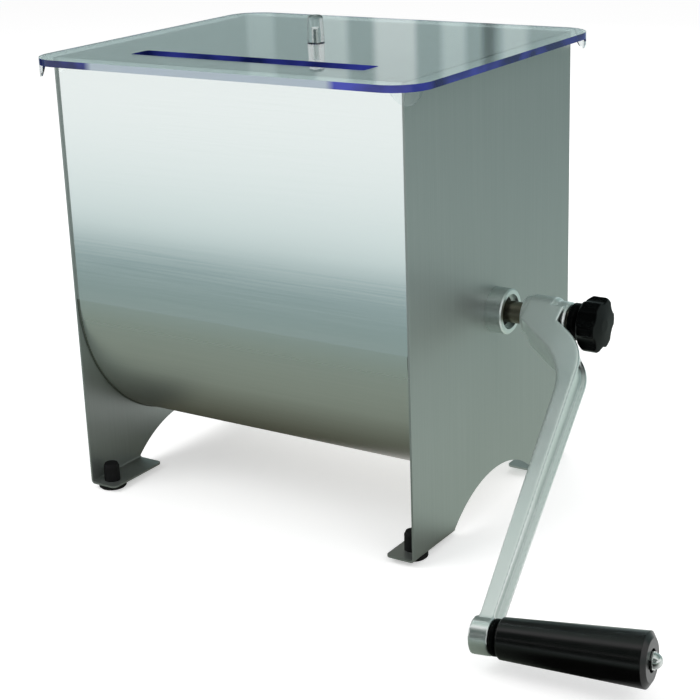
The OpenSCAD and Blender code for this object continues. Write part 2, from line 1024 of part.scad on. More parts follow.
// Curved lip under one corner, deepest across the corner and tapering away along both edges
module corner_lip(side_x, side_y) {
    lip_r = (pow(lip_w / 2, 2) + pow(lip_h, 2)) / (2 * lip_h);
    inset = 2 * [lip_t, lip_t];
    intersection() {
        translate([0, 0, lid_z - lip_h - cut])
            linear_extrude(lip_h + 2 * cut)
                difference() {
                    rounded_rect(lid_size, lid_corner);
                    rounded_rect(lid_size - inset, lid_corner - lip_t);
                }
        translate([side_x * (lid_size.x / 2 - lid_corner), side_y * (lid_size.y / 2 - lid_corner), 0])
            rotate([0, 0, atan2(side_y, side_x)])
                translate([0, 0, lid_z - lip_h + lip_r])
                    rod(2 * lip_r, 0, 2 * lid_corner);
    }
}

module lid_panel() {
    color(CLEAR, 0.5)
        difference() {
            union() {
                translate([0, 0, lid_z])
                    linear_extrude(lid_t)
                        difference() {
                            rounded_rect(lid_size, lid_corner);
                            translate([0, -slot_y])
                                rounded_rect([slot_length, slot_w], slot_corner);
                        }
                for (side_x = [-1, 1], side_y = [-1, 1])
                    corner_lip(side_x, side_y);
            }
            translate([0, 0, lid_z - cut])
                cylinder(d = screw_d + 2 * fix_gap, h = lid_t + 2 * cut);
            translate([0, 0, lid_z])
                cylinder(d1 = screw_head_d + 2 * fix_gap, d2 = screw_d + 2 * fix_gap, h = screw_head_h);
        }
}

// Clear knob, slightly tapered, with a rounded top
module lid_knob() {
    top_r = peg_d / 2 - peg_taper;
    shoulder = peg_h - peg_round;
    color(CLEAR, 0.6)
        difference() {
            translate([0, 0, lid_top])
                rotate_extrude() {
                    polygon([[0, 0], [peg_d / 2, 0], [top_r, shoulder], [0, shoulder]]);
                    translate([0, shoulder - cut])
                        square([top_r - peg_round, peg_round + cut]);
                    translate([top_r - peg_round, shoulder])
                        intersection() {
                            circle(peg_round);
                            translate([-cut, -cut])
                                square(peg_round + cut);
                        }
                }
            translate([0, 0, lid_top - cut])
                cylinder(d = screw_d + 2 * fix_gap, h = screw_len - lid_t + 2 * cut);
        }
}

module lid_knob_screw() {
    r = screw_d / 2;
    color(BRIGHT)
        translate([0, 0, lid_z])
            rotate_extrude()
                polygon([
                    [0, 0],
                    [screw_head_d / 2, 0],
                    [r, screw_head_h],
                    [r, screw_len],
                    [0, screw_len]
                ]);
}

trough_shell();
left_end_plate();
right_end_plate();
foot_front_left();
foot_front_right();
foot_rear_left();
foot_rear_right();
drive_boss();
drive_bush();
drive_thrust_washer();
idle_boss();
idle_bush();
idle_thrust_washer();
paddle_shaft();
paddle_rod_1();
paddle_rod_2();
paddle_rod_3();
paddle_rod_4();
paddle_blade_1();
paddle_blade_2();
paddle_blade_3();
paddle_blade_4();
crank_arm();
crank_washer();
knob_collar();
star_knob();
knob_stud();
grip_spindle();
grip_neck_ring();
grip_sleeve();
grip_washer();
grip_cap_nut();
lid_panel();
lid_knob();
lid_knob_screw();
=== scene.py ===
# %% [markdown]
# # A hand-cranked meat mixer
# The mixer is a sheet-steel trough between two legged end plates. A cast crank turns the paddles inside,
# and a clear lid lies on top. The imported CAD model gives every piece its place, so this lesson adds what
# CAD leaves out: finishes, soft edges, threads, welds, and the light of a small product studio.

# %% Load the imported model
import json
import math

import bpy
from mathutils import Matrix, Vector

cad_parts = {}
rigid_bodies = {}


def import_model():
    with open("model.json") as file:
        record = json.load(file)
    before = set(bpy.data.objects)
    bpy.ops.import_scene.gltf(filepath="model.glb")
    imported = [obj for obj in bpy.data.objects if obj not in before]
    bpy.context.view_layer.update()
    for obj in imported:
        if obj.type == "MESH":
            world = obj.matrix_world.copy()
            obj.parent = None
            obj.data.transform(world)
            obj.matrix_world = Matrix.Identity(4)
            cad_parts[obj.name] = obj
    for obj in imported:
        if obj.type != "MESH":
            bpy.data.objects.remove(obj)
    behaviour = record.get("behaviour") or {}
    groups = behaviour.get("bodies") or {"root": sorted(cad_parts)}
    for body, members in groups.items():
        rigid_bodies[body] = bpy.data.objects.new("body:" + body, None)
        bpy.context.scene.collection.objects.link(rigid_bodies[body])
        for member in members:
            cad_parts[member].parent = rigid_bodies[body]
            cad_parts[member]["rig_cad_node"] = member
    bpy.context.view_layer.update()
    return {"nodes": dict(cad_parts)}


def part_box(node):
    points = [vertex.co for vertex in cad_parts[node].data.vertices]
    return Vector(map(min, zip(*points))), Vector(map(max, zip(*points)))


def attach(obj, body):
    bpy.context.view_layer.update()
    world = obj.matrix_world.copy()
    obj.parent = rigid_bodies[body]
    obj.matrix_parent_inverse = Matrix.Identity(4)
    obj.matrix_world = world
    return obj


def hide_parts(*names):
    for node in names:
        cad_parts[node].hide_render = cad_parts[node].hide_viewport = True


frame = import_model()
bpy.ops.object.select_all(action="DESELECT")
MM = 0.001

# %% [markdown]
# ## Camera
# The picture was taken from the front right and a little above, with a long lens. Matching the corners of
# the hopper to the picture gave the place, the three angles and the focal length below. The camera leans by
# two degrees, as the picture does, so its three axes are worked out one by one and put into a matrix.

# %% Camera
CAMERA_AT = Vector((0.69028, -1.01801, 0.52102))
AZIMUTH, ELEVATION, LEAN = (math.radians(angle) for angle in (33.33, 18.81, -1.98))
IMAGE_PX = 700
FOCAL_PX = 1634.3
SENSOR_MM = 36

camera_back = Vector((
    math.sin(AZIMUTH) * math.cos(ELEVATION),
    -math.cos(AZIMUTH) * math.cos(ELEVATION),
    math.sin(ELEVATION),
))
level_right = Vector((math.cos(AZIMUTH), math.sin(AZIMUTH), 0))
level_up = camera_back.cross(level_right)
camera_right = math.cos(LEAN) * level_right + math.sin(LEAN) * level_up
camera_up = camera_back.cross(camera_right)
camera_turn = Matrix((camera_right, camera_up, camera_back)).transposed()

bpy.ops.object.camera_add(location=CAMERA_AT, rotation=camera_turn.to_euler())
camera = bpy.context.object
camera.data.sensor_width = SENSOR_MM
camera.data.lens = FOCAL_PX / IMAGE_PX * SENSOR_MM
bpy.context.scene.camera = camera
bpy.context.scene.view_settings.view_transform = "Standard"
print("lens: %.1f mm" % camera.data.lens)

# %% [markdown]
# ## Colours and nodes
# Colours are written as the eye knows them, in sRGB hex, and one function turns them into the linear values
# that shaders use. One more small function adds a node with its settings and links, which keeps each
# material short enough to read at a glance. Blender writes a node's settings in small letters and starts
# the names of its inputs with a capital, so the function can tell the two apart.


# %% Colours and nodes
def linear(hex_colour):
    channels = [int(hex_colour[i:i + 2], 16) / 255 for i in (1, 3, 5)]
    return [c / 12.92 if c <= 0.04045 else ((c + 0.055) / 1.055) ** 2.4 for c in channels] + [1.0]


def add_node(tree, kind, *in_order, **by_name):
    """Adds a node. An input, given in order or by name, is linked to a socket or set to a value."""
    node = tree.nodes.new("ShaderNode" + kind)
    inputs = dict(enumerate(in_order))
    for name, value in by_name.items():
        if name[0].islower():
            setattr(node, name, value)
        else:
            inputs[name.replace("_", " ")] = value
    for name, value in inputs.items():
        if isinstance(value, bpy.types.NodeSocket):
            tree.links.new(value, node.inputs[name])
        else:
            node.inputs[name].default_value = value
    return node


def new_material(name):
    material = bpy.data.materials.new(name)
    material.use_nodes = True
    material.node_tree.nodes.clear()
    return material, material.node_tree


print("mid grey is", [round(c, 3) for c in linear("#808080")[:3]])

# %% [markdown]
# ## World and floor
# The object stands on white paper in a white room. The eye, the metal and the clear lid should all see that
# white, so camera, glossy and transmission rays get a background of strength 1, and the light that falls on
# the object is set apart from it. The floor is pale paper that keeps the object's shadow, with a little of
# its own light added for those same rays, so that it reads as white where nothing stands on it.

# %% World and floor
PAPER_WHITE = linear("#ffffff")
ROOM_LIGHT = 0.62
FLOOR_LIFT = 0.42
FLOOR_SIZE = 30


def seen_directly(tree):
    """1 for the rays that should see the white background, and 0 for the light on the object."""
    ray = add_node(tree, "LightPath").outputs
    either = add_node(tree, "Math", ray["Is Camera Ray"], ray["Is Glossy Ray"], operation="MAXIMUM")
    any_ray = add_node(tree, "Math", either.outputs[0], ray["Is Transmission Ray"], operation="MAXIMUM")
    return any_ray.outputs[0]


world = bpy.data.worlds.new("white_room")
world.use_nodes = True
tree = world.node_tree
tree.nodes.clear()
room = add_node(tree, "Background", Color=PAPER_WHITE, Strength=ROOM_LIGHT)
backdrop = add_node(tree, "Background", Color=PAPER_WHITE, Strength=1.0)
choice = add_node(tree, "MixShader", seen_directly(tree), room.outputs[0], backdrop.outputs[0])
add_node(tree, "OutputWorld", Surface=choice.outputs[0])
bpy.context.scene.world = world

paper, tree = new_material("white_paper")
sheet = add_node(tree, "BsdfDiffuse", Color=linear("#eeeeee"))
lift = add_node(tree, "Math", seen_directly(tree), FLOOR_LIFT, operation="MULTIPLY")
glow = add_node(tree, "Emission", Color=PAPER_WHITE, Strength=lift.outputs[0])
both = add_node(tree, "AddShader", sheet.outputs[0], glow.outputs[0])
add_node(tree, "OutputMaterial", Surface=both.outputs[0])

bpy.ops.mesh.primitive_plane_add(size=FLOOR_SIZE, location=(0, 0, 0))
floor = bpy.context.object
floor.name = "floor"
floor.data.materials.append(paper)
print("floor:", FLOOR_SIZE, "m across")

# %% [markdown]
# ## Lamps
# Three large soft lamps give shape without hard shadows: the strongest from the front left, a weaker one
# from the right, and one from behind that lights the lid's far edge. They are kept out of reflections,
# because a lamp that is mirrored in rough metal washes out everything else. The cards of the next steps are
# there to be mirrored.

# %% Lamps
LAMPS = {
    # name: place, point it looks at, size in metres, watts
    "key_softbox": ((-0.9, -1.3, 1.6), (0, 0, 0.15), 1.3, 16),
    "fill_softbox": ((1.6, -0.5, 1.5), (0, 0, 0.15), 1.2, 9),
    "rear_softbox": ((-0.3, 1.6, 1.4), (0, 0, 0.2), 1.2, 8),
}
for name, (place, target, size, watts) in LAMPS.items():
    aim = (Vector(target) - Vector(place)).to_track_quat("-Z", "Y")
    bpy.ops.object.light_add(type="AREA", location=place, rotation=aim.to_euler())
    lamp = bpy.context.object
    lamp.name = name
    lamp.data.size = size
    lamp.data.energy = watts
    lamp.visible_glossy = False
print("lamps:", len(LAMPS))

# %% [markdown]
# ## Cards for the metal to mirror
# Bare metal shows its surroundings more than its own colour, so a photographer lays grey paper around the
# object and hangs grey cloth behind it. Here they are cards that only reflections can see: they block no
# light, and the camera does not see them. They glow, so that they look the same from everywhere, but they
# are not lamps, so Cycles is told not to sample them as such. Each is painted with colours along one
# measure, in metres, and may have a round patch with a soft edge painted over that.


# %% Cards for the metal to mirror
def grey_card(name, size, place, turn):
    """Adds a card, and returns its new material's tree and the position of the shaded point."""
    bpy.ops.mesh.primitive_plane_add(size=1, location=place, rotation=turn)
    card = bpy.context.object
    card.name = name
    card.scale = (*size, 1)
    card.visible_camera = False
    card.visible_diffuse = False
    card.visible_transmission = False
    card.visible_shadow = False
    paint, tree = new_material(name + "_paint")
    paint.cycles.emission_sampling = "NONE"
    card.data.materials.append(paint)
    return tree, add_node(tree, "NewGeometry").outputs["Position"]


def colours_along(tree, measure, stops):
    """Colours along a measure in metres, as {metres: colour}."""
    first, last = min(stops), max(stops)
    share = add_node(tree, "MapRange", Value=measure, From_Min=first, From_Max=last)
    colours = add_node(tree, "ValToRGB", Fac=share.outputs[0])
    elements = colours.color_ramp.elements
    while len(elements) < len(stops):
        elements.new(0.5)
    for element, metres in zip(elements, sorted(stops)):
        element.position = (metres - first) / (last - first)
        element.color = linear(stops[metres])
    return colours.outputs["Color"]


def patch_over(tree, point, under, middle, inner, outer, colour):
    """Paints a round patch over what is there, full up to the inner radius and gone at the outer one."""
    away = add_node(tree, "VectorMath", point, middle, operation="DISTANCE")
    share = add_node(tree, "MapRange", Value=away.outputs["Value"], From_Min=outer, From_Max=inner)
    patched = add_node(tree, "Mix", data_type="RGBA", Factor=share.outputs[0], A=under, B=linear(colour))
    return patched.outputs["Result"]


def light_up(tree, colour):
    glow = add_node(tree, "Emission", Color=colour, Strength=1.0)
    add_node(tree, "OutputMaterial", Surface=glow.outputs[0])
    print("painted a card with", len(tree.nodes), "nodes")


# %% [markdown]
# ## Table paper
# Seen from above, the trough and the end plates mirror the table, so what lies there decides how they look.
# The trough falls from white to dark because the paper in front of it gets darker towards the mixer. The
# right plate mirrors the paper beside and behind the mixer, which changes with the distance from its
# middle. A slanting line parts the two. A white patch beside the grip and a black one under it give the
# grip's end and belly their contrast.

# %% Table paper
TABLE_FRONT = {-0.03: "#36362c", 0.05: "#585a4e", 0.16: "#7e867a", 0.40: "#7f8d85", 0.69: "#8a9fa2",
               0.77: "#d3e0e0", 1.10: "#eaf1f1", 1.50: "#f4f8f8"}
TABLE_REAR = {0.09: "#ffffff", 0.16: "#cdd9ce", 0.50: "#c6d5cd", 0.90: "#bed1ce", 1.30: "#b1c4c2",
              1.85: "#95a7a5"}
FORWARD = (0, -1, 0)
REARWARD = (0.5, 1.5, 0)
REAR_FROM, REAR_TO = -0.03, 0.02
UNDER_GRIP = (0.35, -0.27, 0)
BESIDE_GRIP = (0.45, -0.06, 0)
PAPER_T = 0.3 * MM

tree, point = grey_card("table_paper", (9, 9), (0, 0, PAPER_T), (0, 0, 0))
forward = add_node(tree, "VectorMath", point, FORWARD, operation="DOT_PRODUCT")
away = add_node(tree, "VectorMath", point, (0, 0, 0), operation="DISTANCE")
rearward = add_node(tree, "VectorMath", point, REARWARD, operation="DOT_PRODUCT")
is_rear = add_node(tree, "MapRange", Value=rearward.outputs["Value"], From_Min=REAR_FROM, From_Max=REAR_TO)
front_paint = colours_along(tree, forward.outputs["Value"], TABLE_FRONT)
rear_paint = colours_along(tree, away.outputs["Value"], TABLE_REAR)
both = add_node(tree, "Mix", data_type="RGBA", Factor=is_rear.outputs[0], A=front_paint, B=rear_paint)
table = both.outputs["Result"]
table = patch_over(tree, point, table, UNDER_GRIP, inner=0.06, outer=0.11, colour="#202220")
table = patch_over(tree, point, table, BESIDE_GRIP, inner=0.14, outer=0.20, colour="#f4f6f5")
light_up(tree, table)

# %% [markdown]
# ## Rear cloth
# The clear lid is seen at a low angle and mirrors what hangs behind the mixer. A grey cloth that hangs in
# folds gives it upright strips: pale where a fold catches the light, and one dark gap.

# %% Rear cloth
BETWEEN_FOLDS = "#9aaead"
FOLD_EDGE = 0.015
FOLDS = {
    # from, to: colour
    (-1.24, -1.19): "#b8cccb",
    (-1.08, -1.02): "#d2e2e1",
    (-0.945, -0.87): "#e6f2f1",
    (-0.80, -0.765): "#cfe1e0",
    (-0.715, -0.705): "#243233",
    (-0.675, -0.64): "#d2e3e2",
}
cloth = {-1.5: BETWEEN_FOLDS, -0.30: "#d0e2e1", 0.2: "#97acaa"}
for (low, high), colour in FOLDS.items():
    cloth.update({low - FOLD_EDGE: BETWEEN_FOLDS, low: colour, high: colour, high + FOLD_EDGE: BETWEEN_FOLDS})

tree, point = grey_card("rear_cloth", (5.0, 1.5), (-0.2, 1.6, 0.75), (math.radians(90), 0, 0))
across = add_node(tree, "SeparateXYZ", point)
light_up(tree, colours_along(tree, across.outputs["X"], cloth))

# %% [markdown]
# ## Ceiling and front cloth
# The crank and the tops of the round pieces mirror the ceiling. It is white just in front of the mixer,
# grey above and behind it, and has a pale patch over the crank for the edges of its arm. A dark cloth far
# in front closes the gap between table and ceiling, which would otherwise be mirrored as white.

# %% Ceiling and front cloth
CEILING = {-4.0: "#4e5a56", -1.30: "#4e5a56", -1.05: "#ffffff", -0.65: "#ffffff", -0.35: "#bfcec8",
           0.20: "#aabab3", 1.00: "#7c8884", 4.0: "#66726e"}
CEILING_AT = 1.9
OVER_CRANK = (0.35, -0.02, CEILING_AT)
FRONT = {0.0: "#8c9793", 0.5: "#39423f", 1.9: "#39423f"}

tree, point = grey_card("ceiling_paper", (8.0, 8.0), (0, 0, CEILING_AT), (math.radians(180), 0, 0))
across = add_node(tree, "SeparateXYZ", point)
ceiling = colours_along(tree, across.outputs["Y"], CEILING)
light_up(tree, patch_over(tree, point, ceiling, OVER_CRANK, inner=0.25, outer=0.55, colour="#e2eae7"))

tree, point = grey_card("front_cloth", (9.0, CEILING_AT), (0, -4.4, CEILING_AT / 2), (math.radians(90), 0, 0))
upward = add_node(tree, "SeparateXYZ", point)
light_up(tree, colours_along(tree, upward.outputs["Z"], FRONT))

# %% [markdown]
# ## Inside of the hopper
# Mixing and washing dull the inside of the hopper, and the outside stays bright. A sheet has one material
# for both its faces, so the material has to know which face it is on. Inside is what lies between the
# plates and nearer to the trough's axis than the middle of its sheet. The trough is a half round with
# straight walls above it, so above the axis only the way across counts.

# %% Inside of the hopper
SHEET_MM = 1.2
PLATE_MARGIN_MM = 0.3

trough_low, trough_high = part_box("trough_shell")
trough_r = (trough_high[1] - trough_low[1]) / 2
trough_axis = trough_low[2] + trough_r
mid_sheet_r = trough_r - SHEET_MM / 2 * MM
past_plate_face = trough_high[0] + PLATE_MARGIN_MM * MM


def inside_hopper(tree, place):
    """1 on the inner faces of the hopper, and 0 elsewhere."""
    height = add_node(tree, "Math", place["Z"], trough_axis, operation="SUBTRACT")
    below_axis = add_node(tree, "Math", height.outputs[0], 0.0, operation="MINIMUM")
    spoke = add_node(tree, "CombineXYZ", Y=place["Y"], Z=below_axis.outputs[0])
    from_axis = add_node(tree, "VectorMath", spoke.outputs[0], operation="LENGTH")
    in_trough = add_node(tree, "Math", from_axis.outputs["Value"], mid_sheet_r, operation="LESS_THAN")
    along = add_node(tree, "Math", place["X"], operation="ABSOLUTE")
    between = add_node(tree, "Math", along.outputs[0], past_plate_face, operation="LESS_THAN")
    inside = add_node(tree, "Math", in_trough.outputs[0], between.outputs[0], operation="MULTIPLY")
    return inside.outputs[0]


print("trough: radius %.1f mm, axis %.1f mm above the table" % (trough_r / MM, trough_axis / MM))

# %% [markdown]
# ## Brushed stainless steel
# The trough and the end plates are thin stainless sheet with a brushed finish: long fine scratches, all in
# one direction. They are noise that is stretched along the grain, and they change the colour and the
# roughness a little. Real scratches are about 0.1 mm apart, too fine for the picture, so they are drawn 1.4
# mm apart.
#
# Rolling the trough's belly dulled it, so it is rougher than the flat walls above. Towards its lowest part
# its colour turns a darker, brownish grey, which is painted shade. The scratches leave the roughness alone
# where it changes between belly and wall, because the denoiser shows speckles where noise crosses a
# roughness of about 0.27.
# The flanges at the feet are a darker grey over the last millimetres above the table. The plates have a fine
# haze, and the inside a coarse one: it is rougher and scatters light, which a shader gets from a share that
# is not metallic.

# %% Brushed stainless steel
GRAIN_MM = 1.4
GRAIN_LONG_MM = 120
BELLY_LOW_MM, BELLY_TOP_MM, WALL_MM = 110, 170, 190
# Heights over which the painted shade on the belly's lowest part fades out upwards.
BELLY_SHADE_LOW_MM, BELLY_SHADE_TOP_MM = 52, 105
# Heights over which the flanges turn a darker grey near the table.
FLANGE_DARK_LOW_MM, FLANGE_DARK_TOP_MM = 6, 12
# The first colour is painted shade for the belly's lowest part. The second is the darker grey of the flanges
# near the table.
BELLY_SHADE_TINT, FLANGE_DARK_TINT, DULL_INSIDE = linear("#8c8271"), linear("#9aa09d"), linear("#b6bdbb")
INSIDE_ROUGHER, INSIDE_SCATTER = 0.25, 0.45
SCRATCH_ROUGHNESS = 0.03
NOISE_LOW, NOISE_HIGH = 0.3, 0.7  # nearly all values of a noise texture lie between these


def brushed_steel(name, across, dark, pale, rough, rough_low, belly_shade, metal):
    """Sheet with scratches that lie close together along the given axes. The trough's belly has rough_low."""
    material, tree = new_material(name)
    point = add_node(tree, "TexCoord").outputs["Object"]
    place = add_node(tree, "SeparateXYZ", point).outputs
    inside = inside_hopper(tree, place)

    fine, long = 1 / (GRAIN_MM * MM), 1 / (GRAIN_LONG_MM * MM)
    stretch = add_node(tree, "Mapping", Vector=point,
                       Scale=[fine if axis in across else long for axis in "XYZ"])
    scratches = add_node(tree, "TexNoise", Vector=stretch.outputs[0], Scale=1.0, Detail=3.0).outputs["Fac"]
    tint = add_node(tree, "Mix", data_type="RGBA", Factor=scratches, A=linear(dark), B=linear(pale))
    # Painted shade: the colour turns darker and browner towards the belly's lowest part.
    lowest = add_node(tree, "MapRange", Value=place["Z"], To_Min=belly_shade, To_Max=0.0,
                      From_Min=BELLY_SHADE_LOW_MM * MM, From_Max=BELLY_SHADE_TOP_MM * MM)
    belly_shaded = add_node(tree, "Mix", data_type="RGBA", Factor=lowest.outputs[0],
                     A=tint.outputs["Result"], B=BELLY_SHADE_TINT)
    dulled = add_node(tree, "Mix", data_type="RGBA", Factor=inside, A=belly_shaded.outputs["Result"], B=DULL_INSIDE)
    # The flanges are a darker grey over the last millimetres above the table.
    above_flange_dark = add_node(tree, "MapRange", Value=place["Z"],
                          From_Min=FLANGE_DARK_LOW_MM * MM, From_Max=FLANGE_DARK_TOP_MM * MM)
    colour = add_node(tree, "Mix", data_type="RGBA", Factor=above_flange_dark.outputs[0],
                      A=FLANGE_DARK_TINT, B=dulled.outputs["Result"])

    rolled = add_node(tree, "MapRange", Value=place["Z"], To_Min=rough_low, To_Max=rough,
                      From_Min=BELLY_LOW_MM * MM, From_Max=BELLY_TOP_MM * MM)
    wear = add_node(tree, "MapRange", Value=scratches, To_Min=-SCRATCH_ROUGHNESS, To_Max=SCRATCH_ROUGHNESS,
                    From_Min=NOISE_LOW, From_Max=NOISE_HIGH)
    wear_share = add_node(tree, "MapRange", Value=place["Z"], To_Min=1.0 if rough == rough_low else 0.0,
                          From_Min=BELLY_TOP_MM * MM, From_Max=WALL_MM * MM)
    worn = add_node(tree, "Math", wear.outputs[0], wear_share.outputs[0], rolled.outputs[0],
                    operation="MULTIPLY_ADD")
    roughness = add_node(tree, "Math", inside, INSIDE_ROUGHER, worn.outputs[0], operation="MULTIPLY_ADD")
    bare = add_node(tree, "Math", inside, -INSIDE_SCATTER, metal, operation="MULTIPLY_ADD")
    steel = add_node(tree, "BsdfPrincipled", Base_Color=colour.outputs["Result"],
                     Roughness=roughness.outputs[0], Metallic=bare.outputs[0])
    add_node(tree, "OutputMaterial", Surface=steel.outputs[0])
    return material


trough_steel = brushed_steel("brushed_stainless_trough", "YZ", "#eff3f1", "#f9fbfa",
                             rough=0.14, rough_low=0.42, belly_shade=0.65, metal=1.0)
plate_steel = brushed_steel("brushed_stainless_plate", "Y", "#979f9c", "#a9b0ad",
                            rough=0.40, rough_low=0.40, belly_shade=0.0, metal=0.8)
print("made", trough_steel.name, "and", plate_steel.name)

# %% [markdown]
# ## Turned steel
# The bosses, the shaft and the washers come off a lathe. A lathe leaves rings around the axis, one for
# every turn of the tool, so the bump is noise that changes along the shaft and hardly around it. The Bevel
# node rounds the turned edges a little, where light catches them. Stainless steel stays bare and bright, the
# shaft is dark with oil, and the small hardware is shiny from its zinc plate.

# %% Turned steel
TOOL_FEED_MM = 0.5
RING_DRIFT_PER_M = 12
RING_DEPTH_MM = 0.2
TURNED_EDGE_MM = 0.4


def turned_steel(name, dark, pale, rough):
    material, tree = new_material(name)
    point = add_node(tree, "TexCoord").outputs["Object"]
    rings = add_node(tree, "Mapping", Vector=point,
                     Scale=(1 / (TOOL_FEED_MM * MM), RING_DRIFT_PER_M, RING_DRIFT_PER_M))
    marks = add_node(tree, "TexNoise", Vector=rings.outputs[0], Scale=1.0, Detail=2.0).outputs["Fac"]
    tint = add_node(tree, "Mix", data_type="RGBA", Factor=marks, A=linear(dark), B=linear(pale))
    gloss = add_node(tree, "MapRange", Value=marks, To_Min=rough - 0.05, To_Max=rough + 0.07,
                     From_Min=NOISE_LOW, From_Max=NOISE_HIGH)
    round_edge = add_node(tree, "Bevel", samples=4, Radius=TURNED_EDGE_MM * MM)
    relief = add_node(tree, "Bump", Height=marks, Normal=round_edge.outputs[0],
                      Strength=0.08, Distance=RING_DEPTH_MM * MM)
    steel = add_node(tree, "BsdfPrincipled", Metallic=1.0, Base_Color=tint.outputs["Result"],
                     Roughness=gloss.outputs[0], Normal=relief.outputs[0])
    add_node(tree, "OutputMaterial", Surface=steel.outputs[0])
    return material


machined_steel = turned_steel("turned_stainless", "#d0d8d6", "#e0e6e4", rough=0.34)
oiled_steel = turned_steel("oiled_steel", "#6f6a5c", "#8a8577", rough=0.34)
zinc_steel = turned_steel("bright_zinc_plate", "#d2d6d4", "#e6e9e7", rough=0.20)
print("made", [m.name for m in (machined_steel, oiled_steel, zinc_steel)])

# %% [markdown]
# ## Cast aluminium
# The crank is a die casting with a satin skin: a fine even grain from the mould and a little cloudiness.
# The grain is fine noise in the bump, and the clouds are slow noise in colour and roughness. The roughness
# stays above 0.27 everywhere, again for the denoiser. The round edges come later, from the shape itself.

# %% Cast aluminium
CAST_GRAIN_MM = 0.8
CAST_GRAIN_DEPTH_MM = 0.3
CAST_CLOUD_MM = 25

cast_aluminium, tree = new_material("die_cast_aluminium")
point = add_node(tree, "TexCoord").outputs["Object"]
grain = add_node(tree, "TexNoise", Vector=point, Scale=1 / (CAST_GRAIN_MM * MM), Detail=3.0).outputs["Fac"]
clouds = add_node(tree, "TexNoise", Vector=point, Scale=1 / (CAST_CLOUD_MM * MM), Detail=3.0).outputs["Fac"]
tint = add_node(tree, "Mix", data_type="RGBA", Factor=clouds, A=linear("#ecf1ef"), B=linear("#f6f9f8"))
gloss = add_node(tree, "MapRange", Value=clouds, To_Min=0.29, To_Max=0.36,
                 From_Min=NOISE_LOW, From_Max=NOISE_HIGH)
relief = add_node(tree, "Bump", Height=grain, Strength=0.02, Distance=CAST_GRAIN_DEPTH_MM * MM)
metal = add_node(tree, "BsdfPrincipled", Metallic=1.0, Base_Color=tint.outputs["Result"],
                 Roughness=gloss.outputs[0], Normal=relief.outputs[0])
add_node(tree, "OutputMaterial", Surface=metal.outputs[0])
print("made", cast_aluminium.name)

# %% [markdown]
# ## Plastics and rubber
# The knob is a glossy black moulding, the grip a satin one with the fine pitting of a spark-eroded mould,
# the thrust washers are natural nylon and the bushes black nylon, and the feet are dull rubber. They differ
# in colour, in gloss and in the size of their grain, so one function makes them all.

# %% Plastics and rubber
PLASTIC_IOR = 1.49
MOULD_CLOUDS_PER_M = 60
MOULD_GRAIN_DEPTH_MM = 0.2
MOULDED_EDGE_MM = 0.6


def moulded(name, dark, pale, rough, grain_mm, relief_strength, gloss_level):
    material, tree = new_material(name)
    point = add_node(tree, "TexCoord").outputs["Object"]
    grain = add_node(tree, "TexNoise", Vector=point, Scale=1 / (grain_mm * MM), Detail=2.0).outputs["Fac"]
    clouds = add_node(tree, "TexNoise", Vector=point, Scale=MOULD_CLOUDS_PER_M, Detail=2.0).outputs["Fac"]
    tint = add_node(tree, "Mix", data_type="RGBA", Factor=clouds, A=linear(dark), B=linear(pale))
    gloss = add_node(tree, "MapRange", Value=clouds, To_Min=rough * 0.85, To_Max=rough * 1.15,
                     From_Min=NOISE_LOW, From_Max=NOISE_HIGH)
    round_edge = add_node(tree, "Bevel", samples=4, Radius=MOULDED_EDGE_MM * MM)
    relief = add_node(tree, "Bump", Height=grain, Normal=round_edge.outputs[0],
                      Strength=relief_strength, Distance=MOULD_GRAIN_DEPTH_MM * MM)
    plastic = add_node(tree, "BsdfPrincipled", IOR=PLASTIC_IOR, Specular_IOR_Level=gloss_level,
                       Base_Color=tint.outputs["Result"], Roughness=gloss.outputs[0],
                       Normal=relief.outputs[0])
    add_node(tree, "OutputMaterial", Surface=plastic.outputs[0])
    return material


# name, dark and pale colour, roughness, grain in mm, strength of the relief, gloss level
gloss_black = moulded("gloss_black_phenolic", "#020303", "#050606", 0.20, 3.0, 0.02, 0.04)
satin_black = moulded("satin_black_polypropylene", "#020202", "#050505", 0.235, 0.6, 0.04, 0.5)
white_nylon = moulded("natural_nylon", "#dedbd0", "#ebe9e0", 0.45, 0.8, 0.05, 0.5)
black_nylon = moulded("moulded_black_nylon", "#151617", "#1e1f20", 0.45, 0.8, 0.05, 0.3)
foot_rubber = moulded("black_rubber", "#0d0d0e", "#161617", 0.70, 0.7, 0.15, 0.3)
print("made", [m.name for m in (gloss_black, satin_black, white_nylon, black_nylon, foot_rubber)])

# %% [markdown]
# ## Sawn edges of the lid
# The lid, its lips and its knob are clear acrylic. Seen through its faces the sheet is almost colourless,
# but its sawn edges show the length of the sheet and look violet-blue, paler in the middle of the front
# edge. The faces point up and down and the sawn edges sideways, so the surface normal tells them apart. The
# lips hang below the sheet and the knob stands on it, both thin enough to stay clear, so the blue is kept
# to the height of the sheet.

# %% Sawn edges of the lid
LID_T = 5 * MM
HEIGHT_MARGIN = 0.05 * MM
PALE_HALF_MM, PALE_END_MM = 100, 107  # along the front edge, from its middle
PALE_FROM_MM, PALE_FULL_MM = -100, -110  # towards the front
DEPTH_MM = 40

lid_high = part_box("lid_panel")[1]
mid_lid = lid_high[2] - LID_T / 2

clear_acrylic, tree = new_material("clear_cast_acrylic")
coordinates = add_node(tree, "TexCoord").outputs
place = add_node(tree, "SeparateXYZ", coordinates["Object"]).outputs
facing = add_node(tree, "SeparateXYZ", coordinates["Normal"]).outputs

upright = add_node(tree, "Math", facing["Z"], operation="ABSOLUTE")
sideways = add_node(tree, "MapRange", Value=upright.outputs[0], From_Min=0.7, From_Max=0.3)
height = add_node(tree, "Math", place["Z"], mid_lid, operation="SUBTRACT")
from_middle = add_node(tree, "Math", height.outputs[0], operation="ABSOLUTE")
in_sheet = add_node(tree, "Math", from_middle.outputs[0], LID_T / 2 + HEIGHT_MARGIN,
                    operation="LESS_THAN").outputs[0]
sawn = add_node(tree, "Math", sideways.outputs[0], in_sheet, operation="MULTIPLY").outputs[0]

